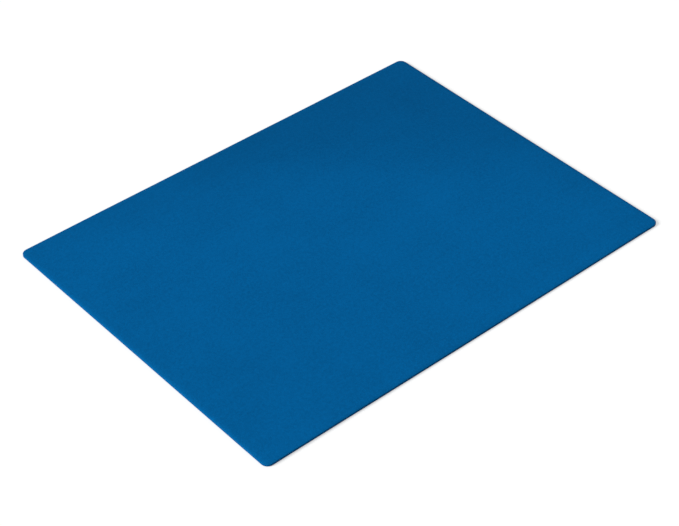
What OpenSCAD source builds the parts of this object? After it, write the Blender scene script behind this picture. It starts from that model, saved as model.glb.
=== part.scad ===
// Craft foam sheet: one flat rectangle of closed-cell foam, die-cut with small
// round corners and lying on its underside. Millimetres, +Z up, length along X,
// origin at the middle of the underside.

/* [Sheet] */
// Length of the sheet, along X
sheet_length = 304.8; // [60:0.1:900]
// Width of the sheet, along Y
sheet_width = 228.6; // [60:0.1:600]
// Thickness of the foam
sheet_thickness = 2; // [1:0.1:10]

/* [Cut edge] */
// Radius of the four corners, seen from above
corner_radius = 4.5; // [1:0.1:25]
// Radius of the soft edge where each face turns down into the cut side
edge_radius = 0.4; // [0.1:0.05:0.9]

/* [Hidden] */
$fn = 96;

// The cut side stays flat over its middle, so a soft edge takes less than half of it
most_of_side = 0.45;
soft_edge = min(edge_radius, most_of_side * sheet_thickness);

// Straight lengths of cut side between the round corners
straight_length = sheet_length - 2 * corner_radius;
straight_width = sheet_width - 2 * corner_radius;

foam_blue = [0, 0.35, 0.58];

// A quarter of a disc, which rounds the turn from a face into the cut side
module soft_turn() {
    intersection() {
        circle(soft_edge);
        square(soft_edge);
    }
}

// Section through the rim, from the centre of a corner out to the cut side
module rim_section() {
    inner = corner_radius - soft_edge;
    side = sheet_thickness - 2 * soft_edge;
    square([inner, sheet_thickness]);
    translate([inner, soft_edge]) square([soft_edge, side]);
    translate([inner, sheet_thickness - soft_edge]) soft_turn();
    translate([inner, soft_edge]) mirror([0, 1]) soft_turn();
}

// One straight rim, centred on the origin, with its cut side facing +X
module straight_rim(run) {
    rotate([90, 0, 0]) linear_extrude(run, center = true) rim_section();
}

// One round corner, centred on the origin, turning from +X to +Y
module round_corner() {
    rotate_extrude(angle = 90) rim_section();
}

module foam_sheet() {
    color(foam_blue) {
        translate([0, 0, sheet_thickness / 2])
            cube([straight_length, straight_width, sheet_thickness], center = true);
        for (turn = [0, 180]) rotate(turn) {
            translate([straight_length / 2, 0, 0]) straight_rim(straight_width);
            rotate(90) translate([straight_width / 2, 0, 0]) straight_rim(straight_length);
            translate([straight_length / 2, straight_width / 2, 0]) round_corner();
            translate([-straight_length / 2, straight_width / 2, 0]) rotate(90) round_corner();
        }
    }
}

foam_sheet();
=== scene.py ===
# A craft foam sheet, lying flat on a pale floor.
import math

import bmesh
import bpy
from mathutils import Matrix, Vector, noise


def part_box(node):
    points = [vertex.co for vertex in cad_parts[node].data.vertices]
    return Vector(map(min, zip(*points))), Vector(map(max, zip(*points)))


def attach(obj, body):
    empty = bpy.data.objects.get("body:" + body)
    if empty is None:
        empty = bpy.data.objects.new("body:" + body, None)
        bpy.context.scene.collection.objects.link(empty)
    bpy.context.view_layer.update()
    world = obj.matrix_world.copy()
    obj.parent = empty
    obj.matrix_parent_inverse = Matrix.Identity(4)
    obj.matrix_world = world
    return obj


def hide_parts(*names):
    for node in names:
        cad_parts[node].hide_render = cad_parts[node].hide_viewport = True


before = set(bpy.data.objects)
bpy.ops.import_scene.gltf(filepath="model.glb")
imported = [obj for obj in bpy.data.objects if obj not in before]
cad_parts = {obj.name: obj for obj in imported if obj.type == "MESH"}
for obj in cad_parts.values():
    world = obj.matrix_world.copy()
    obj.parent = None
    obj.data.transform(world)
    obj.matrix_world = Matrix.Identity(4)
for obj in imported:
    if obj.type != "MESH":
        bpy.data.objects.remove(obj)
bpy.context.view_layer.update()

# Foam sheet
# One rectangle of soft closed-cell foam, split from a thick block and pressed out by a steel rule die.
# The die leaves small round corners, rolls the edges over and draws the cut side in a little,
# and the sheet never lies quite flat: it waves by a fraction of a millimetre.
mm = 0.001
low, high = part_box("foam_sheet")
half_length = (high[0] - low[0]) / 2
half_width = (high[1] - low[1]) / 2
thickness = high[2] - low[2]
corner_radius = 4.5 * mm
corner_steps = 16
edge_radius = 0.4 * mm
edge_steps = 5
roll_width = 2.6 * mm
top_roll = 0.35 * mm
under_roll = 0.08 * mm
roll_loops = (0.3 * mm, 0.4 * mm, 0.6 * mm, 0.9 * mm)
side_hollow = 0.10 * mm
side_levels = (0.35, 0.5, 0.65)
side_wander = 0.05 * mm
mean_wander = 0.5
wander_swing = 0.4
wander_length = 12 * mm
nick_length = 5 * mm
nick_share = 0.5
wave_height = 0.25 * mm
long_wave = 110 * mm
short_wave = 42 * mm
short_wave_share = 0.35
long_wave_draw, short_wave_draw, wander_draw, nick_draw = 0.7, 5.2, 3.1, 8.4
grid_step = 2.0 * mm
closest_cut = 0.002 * mm


def inside_by(x, y):
    """How far a point is in from the cut side, seen from above."""
    out_x = abs(x) - (half_length - corner_radius)
    out_y = abs(y) - (half_width - corner_radius)
    past_corner = math.hypot(max(out_x, 0), max(out_y, 0))
    return corner_radius - past_corner - min(max(out_x, out_y), 0)


def outward(x, y):
    """The level direction that the nearest stretch of cut side faces."""
    out_x = max(abs(x) - (half_length - corner_radius), 0)
    out_y = max(abs(y) - (half_width - corner_radius), 0)
    return Vector((math.copysign(out_x, x), math.copysign(out_y, y), 0)).normalized()


def uneven(point, length, draw):
    """Smooth noise from about -1 to 1 that changes over the given length."""
    return noise.noise(point / length + Vector((0, 0, draw)))


foam = bmesh.new()


def rounded(geom, affect, radius, steps):
    """Rounds the given corners or edges of the foam."""
    bmesh.ops.bevel(
        foam,
        geom=geom,
        offset=radius,
        affect=affect,
        segments=steps,
        profile=0.5,
        material=-1,
    )


def cut(place, normal):
    """Cuts every face that a plane passes through, and keeps both halves."""
    everything = foam.verts[:] + foam.edges[:] + foam.faces[:]
    bmesh.ops.bisect_plane(foam, geom=everything, dist=closest_cut, plane_co=place, plane_no=normal)


def in_order(items, place):
    """Numbers points, edges or faces by their place, because a bevel numbers its own in no fixed order."""
    for i, item in enumerate(sorted(items, key=place)):
        item.index = i
    items.sort()


# A blank with round corners, raised to the thickness of the foam
blank = [(-1, -1), (1, -1), (1, 1), (-1, 1)]
foam.faces.new([foam.verts.new((x * half_length, y * half_width, low[2])) for x, y in blank])
rounded(foam.verts[:], "VERTICES", corner_radius, corner_steps)
raised = bmesh.ops.extrude_face_region(foam, geom=foam.faces[:])["geom"]
raised_verts = [v for v in raised if isinstance(v, bmesh.types.BMVert)]
bmesh.ops.translate(foam, verts=raised_verts, vec=(0, 0, thickness))
bmesh.ops.recalc_face_normals(foam, faces=foam.faces[:])

# The two rims are rounded, and loops beside them hold the roll of the edge
rims = [e for e in foam.edges if abs(e.verts[0].co.z - e.verts[1].co.z) < thickness / 2]
rounded(rims, "EDGES", edge_radius, edge_steps)
for gap in roll_loops:
    top_and_under = sorted(foam.faces, key=lambda f: f.calc_area())[-2:]
    bmesh.ops.inset_individual(foam, faces=top_and_under, thickness=gap, use_even_offset=True)

# Cuts across the sheet give it points to wave with, and cuts round the side let it hollow
for along, half in ((Vector((1, 0, 0)), half_length), (Vector((0, 1, 0)), half_width)):
    straight = half - corner_radius
    cuts = round(2 * straight / grid_step)
    for i in range(cuts + 1):
        cut(along * straight * (2 * i / cuts - 1), along)
for share in side_levels:
    cut(Vector((0, 0, low[2] + share * thickness)), Vector((0, 0, 1)))

# The roll of the edge, the hollow and wander of the cut side, and the wave of the whole sheet.
# Heights run from -1 on the underside to 1 on top, and the rim is where the side starts to turn.
rim = foam.verts.layers.float.new("rim")
cut_side = foam.verts.layers.float.new("cut_side")
middle = low[2] + thickness / 2
side_depth = 0.9 * edge_radius
rim_starts = 1.02 - 2 * edge_radius / thickness
waves = {}
for v in foam.verts:
    flat = Vector((v.co.x, v.co.y, 0))
    depth = inside_by(v.co.x, v.co.y)
    height = (v.co.z - middle) / (thickness / 2)
    ripple = short_wave_share * uneven(flat, short_wave, short_wave_draw)
    waves[v] = uneven(flat, long_wave, long_wave_draw) + ripple
    if depth < side_depth:
        v[cut_side] = 1.0
        if abs(height) > rim_starts:
            v[rim] = 1.0
        nicks = nick_share * uneven(flat, nick_length, nick_draw + height)
        wander = uneven(flat, wander_length, wander_draw) + nicks
        pull = side_hollow * (1 - height**2) + side_wander * (mean_wander + wander_swing * wander)
        v.co -= outward(v.co.x, v.co.y) * pull
    roll = max(1 - depth / roll_width, 0) ** 2
    v.co.z -= roll * height * (top_roll if height > 0 else under_roll)
lowest, highest = min(waves.values()), max(waves.values())
for v, wave in waves.items():
    v.co.z += wave_height * (wave - lowest) / (highest - lowest)

# Shaded smooth, facing out, and in the same order on every run
for face in foam.faces:
    face.smooth = True
bmesh.ops.recalc_face_normals(foam, faces=foam.faces[:])
in_order(foam.verts, lambda v: v.co.to_tuple())
in_order(foam.edges, lambda e: (e.verts[0].co + e.verts[1].co).to_tuple())
in_order(foam.faces, lambda f: f.calc_center_median().to_tuple())
foam_mesh = bpy.data.meshes.new("foam_sheet_body")
foam.to_mesh(foam_mesh)
foam.free()
sheet = bpy.data.objects.new("foam_sheet_body", foam_mesh)
bpy.context.collection.objects.link(sheet)

deep_blue = (0.0, 0.084, 0.246)
pale_blue = (0.0, 0.116, 0.338)
# Lighter blue for the rims: a painted highlight along the edges, together with rubbed wear
rim_wear_and_highlight_blue = (0.003, 0.120, 0.335)
# Darker blue for the pits: painted shade in the holes
pit_shade_blue = (0.0, 0.040, 0.140)
rim_wear_and_highlight = 0.3
pit_shade = 0.30
gloss = 0.03
roughest, smoothest = 0.86, 0.72
cloud_size = 45 * mm
streak_width = 4 * mm
streak_stretch = (60, 1, 1)
grain_size = 1.8 * mm
cell_size = 0.5 * mm
pinhole_spacing = 15 * mm
pinhole_draws = (0.8, 1.0)
pit_radii = (0.0, 0.030)
pit_slope = 0.015
tone_and_cell_shade_range = (0.36, 0.64)
grain_range = (0.3, 0.7)


def foam_material():
    """Blue split foam: matt, with fine open cells, a soft grain and a few pinholes."""
    material = bpy.data.materials.new("blue_craft_foam")
    material.use_nodes = True
    nodes, links = material.node_tree.nodes, material.node_tree.links
    shader = nodes["Principled BSDF"]
    shader.inputs["Specular IOR Level"].default_value = gloss
    place = nodes.new("ShaderNodeTexCoord").outputs["Object"]

    def pattern(kind, size, stretch=(1, 1, 1)):
        """A texture on the sheet whose features are about size across, longer along a stretch."""
        spread = nodes.new("ShaderNodeMapping")
        spread.inputs["Scale"].default_value = [1 / (size * s) for s in stretch]
        texture = nodes.new(kind)
        texture.inputs["Scale"].default_value = 1
        links.new(place, spread.inputs["Vector"])
        links.new(spread.outputs["Vector"], texture.inputs["Vector"])
        return texture

    def marked(name):
        """A socket that is 1 on the part of the mesh with that mark."""
        mark = nodes.new("ShaderNodeAttribute")
        mark.attribute_name = name
        return mark.outputs["Fac"]

    def sum_of(*terms):
        """Adds up sockets, each times its own weight."""
        total = None
        for socket, weight in terms:
            step = nodes.new("ShaderNodeMath")
            step.operation = "MULTIPLY_ADD"
            links.new(socket, step.inputs[0])
            step.inputs[1].default_value = weight
            step.inputs[2].default_value = 0
            if total:
                links.new(total, step.inputs[2])
            total = step.outputs["Value"]
        return total

    def ranged(socket, old, new):
        """Maps the old range of a socket onto a new one, and holds it there."""
        step = nodes.new("ShaderNodeMapRange")
        for name, value in zip(("From Min", "From Max", "To Min", "To Max"), (*old, *new)):
            step.inputs[name].default_value = value
        links.new(socket, step.inputs["Value"])
        return step.outputs["Result"]

    def mixed(share, first, second):
        """Blends two colours, each given as a colour or as a socket."""
        blend = nodes.new("ShaderNodeMix")
        blend.data_type = "RGBA"
        links.new(share, blend.inputs["Factor"])
        for socket, colour in ((blend.inputs[6], first), (blend.inputs[7], second)):
            if isinstance(colour, tuple):
                socket.default_value = (*colour, 1)
            else:
                links.new(colour, socket)
        return blend.outputs[2]

    # Clouds of dye, faint streaks left by the splitting knife, grain and open cells
    clouds = pattern("ShaderNodeTexNoise", cloud_size)
    clouds.inputs["Detail"].default_value = 4
    streaks = pattern("ShaderNodeTexNoise", streak_width, streak_stretch)
    grain = pattern("ShaderNodeTexNoise", grain_size)
    grain.inputs["Detail"].default_value = 3
    cells = pattern("ShaderNodeTexVoronoi", cell_size)
    side = marked("cut_side")

    # Pinholes: one large cell in five has a small pit in its middle.
    # The pit's radius is drawn for each, as a share of the spacing.
    pinholes = pattern("ShaderNodeTexVoronoi", pinhole_spacing)
    pinholes.voronoi_dimensions = "2D"
    draw = nodes.new("ShaderNodeSeparateColor")
    links.new(pinholes.outputs["Color"], draw.inputs["Color"])
    pit_radius = ranged(draw.outputs["Red"], pinhole_draws, pit_radii)
    pit_depth = sum_of((pit_radius, 1), (pinholes.outputs["Distance"], -1), (side, -1))
    pit = ranged(pit_depth, (0, pit_slope), (0, 1))

    # Colour: lightest along the rim, with a painted highlight and rubbed wear there, and darkest in the
    # pits, with painted shade there
    # The cell term darkens each cell towards its hollow, which is painted shade in the cells; clouds,
    # streaks and grain are the foam's own uneven tone
    tone_and_cell_shade = sum_of(
        (clouds.outputs["Fac"], 0.20),
        (streaks.outputs["Fac"], 0.08),
        (grain.outputs["Fac"], 0.32),
        (cells.outputs["Distance"], 0.40),
    )
    blues = mixed(ranged(tone_and_cell_shade, tone_and_cell_shade_range, (0, 1)), deep_blue, pale_blue)
    # The rims are painted lighter: a painted highlight along the edges, together with rubbed wear
    blues = mixed(ranged(marked("rim"), (0, 1), (0, rim_wear_and_highlight)), blues, rim_wear_and_highlight_blue)
    # The pits are painted darker: painted shade in the holes
    blues = mixed(ranged(pit, (0, 1), (0, pit_shade)), blues, pit_shade_blue)
    links.new(blues, shader.inputs["Base Color"])
    roughness = ranged(grain.outputs["Fac"], grain_range, (roughest, smoothest))
    links.new(roughness, shader.inputs["Roughness"])

    # Relief in millimetres, with cells torn wider open on the cut side
    torn = nodes.new("ShaderNodeMath")
    torn.operation = "MULTIPLY"
    links.new(cells.outputs["Distance"], torn.inputs[0])
    links.new(side, torn.inputs[1])
    bump = nodes.new("ShaderNodeBump")
    bump.inputs["Distance"].default_value = 1 * mm
    relief = sum_of(
        (grain.outputs["Fac"], 0.055),
        (cells.outputs["Distance"], 0.035),
        (torn.outputs["Value"], 0.04),
        (pit, -0.12),
    )
    links.new(relief, bump.inputs["Height"])
    links.new(bump.outputs["Normal"], shader.inputs["Normal"])
    return material


foam_mesh.materials.append(foam_material())
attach(sheet, "root")
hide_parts("foam_sheet")

# Floor
# A wide plain floor of matt pale paint. It shows white, with the sheet's soft shadow on it,
# and gives back about half of the light that falls on it.
floor_half = 8.0
floor_bounce = (0.5, 0.5, 0.5, 1)
floor_shown = (0.64, 0.64, 0.64, 1)
floor_glow = 0.52
floor_mesh = bpy.data.meshes.new("floor")
ground = bmesh.new()
bmesh.ops.create_grid(ground, x_segments=1, y_segments=1, size=floor_half)
ground.to_mesh(floor_mesh)
ground.free()
floor = bpy.data.objects.new("floor", floor_mesh)
bpy.context.collection.objects.link(floor)


def seen_rays(tree):
    """A socket that is 1 on rays that show a background: to the camera, in gloss and through glass."""
    path = tree.nodes.new("ShaderNodeLightPath")
    seen = path.outputs["Is Camera Ray"]
    for kind in ("Is Glossy Ray", "Is Transmission Ray"):
        either = tree.nodes.new("ShaderNodeMath")
        either.operation = "MAXIMUM"
        tree.links.new(seen, either.inputs[0])
        tree.links.new(path.outputs[kind], either.inputs[1])
        seen = either.outputs["Value"]
    return seen


def floor_material():
    """Matt paint with a glow of its own, which only shows and lights nothing."""
    material = bpy.data.materials.new("pale_floor")
    material.use_nodes = True
    nodes, links = material.node_tree.nodes, material.node_tree.links
    nodes.remove(nodes["Principled BSDF"])
    bounce = nodes.new("ShaderNodeBsdfDiffuse")
    bounce.inputs["Color"].default_value = floor_bounce
    matt = nodes.new("ShaderNodeBsdfDiffuse")
    matt.inputs["Color"].default_value = floor_shown
    glow = nodes.new("ShaderNodeEmission")
    glow.inputs["Strength"].default_value = floor_glow
    shown = nodes.new("ShaderNodeAddShader")
    choice = nodes.new("ShaderNodeMixShader")
    links.new(matt.outputs["BSDF"], shown.inputs[0])
    links.new(glow.outputs["Emission"], shown.inputs[1])
    links.new(seen_rays(material.node_tree), choice.inputs["Fac"])
    links.new(bounce.outputs["BSDF"], choice.inputs[1])
    links.new(shown.outputs["Shader"], choice.inputs[2])
    links.new(choice.outputs["Shader"], nodes["Material Output"].inputs["Surface"])
    return material


floor_mesh.materials.append(floor_material())

# Light
# A low key light from the left, an even sky, and a soft-edged spot on the near part of the sheet alone.
# Their shares of the light on the top face add up to about one, so that a colour shows as it is written.
lamp_distance = 3.0


def from_side(azimuth, elevation):
    """The direction towards a lamp or camera round at azimuth and up at elevation, in degrees."""
    turn, lift = math.radians(azimuth), math.radians(elevation)
    return Vector((math.sin(turn) * math.cos(lift), -math.cos(turn) * math.cos(lift), math.sin(lift)))


key_share = 0.47
key_from = from_side(-105, 30)
key_lamp = bpy.data.lights.new("key", "SUN")
key_lamp.angle = math.radians(25)
key_lamp.energy = key_share * math.pi / key_from.z
key = bpy.data.objects.new("key", key_lamp)
key.location = key_from * lamp_distance
key.rotation_euler = key_from.to_track_quat("Z", "Y").to_euler()
bpy.context.collection.objects.link(key)

spot_share = 0.21
spot_from = from_side(-105, 45)
spot_aim = Vector((-0.20, -0.124, 0))
spot_lamp = bpy.data.lights.new("spot", "SPOT")
spot_lamp.spot_size = math.radians(11.5)
spot_lamp.spot_blend = 0.425
spot_lamp.shadow_soft_size = 0.02
spot_lamp.energy = spot_share * 4 * math.pi**2 * lamp_distance**2 / spot_from.z
spot = bpy.data.objects.new("spot", spot_lamp)
spot.location = spot_aim + spot_from * lamp_distance
spot.rotation_euler = spot_from.to_track_quat("Z", "Y").to_euler()
spot_lights = bpy.data.collections.new("spot_lights")
spot_lights.objects.link(sheet)
spot.light_linking.receiver_collection = spot_lights
bpy.context.collection.objects.link(spot)

sky_share = 0.31
world = bpy.data.worlds.new("studio")
world.use_nodes = True
nodes, links = world.node_tree.nodes, world.node_tree.links
level = nodes.new("ShaderNodeMapRange")
level.inputs["To Min"].default_value = sky_share
level.inputs["To Max"].default_value = 1.0
nodes["Background"].inputs["Color"].default_value = (1, 1, 1, 1)
links.new(seen_rays(world.node_tree), level.inputs["Value"])
links.new(level.outputs["Result"], nodes["Background"].inputs["Strength"])
bpy.context.scene.world = world
bpy.context.scene.view_settings.view_transform = "Standard"

# Camera
# A long lens about a metre away, which looks down across the sheet from above its near corner
# and has the whole sheet in the middle of its frame.
view_aim = Vector((-0.0156, -0.0151, 0))
view_distance = 1.0835
view_from = from_side(-41.13, 40.59)
lens = bpy.data.cameras.new("camera")
lens.lens = 98.1
camera = bpy.data.objects.new("camera", lens)
camera.location = view_aim + view_from * view_distance
camera.rotation_euler = view_from.to_track_quat("Z", "Y").to_euler()
bpy.context.collection.objects.link(camera)
bpy.context.scene.camera = camera
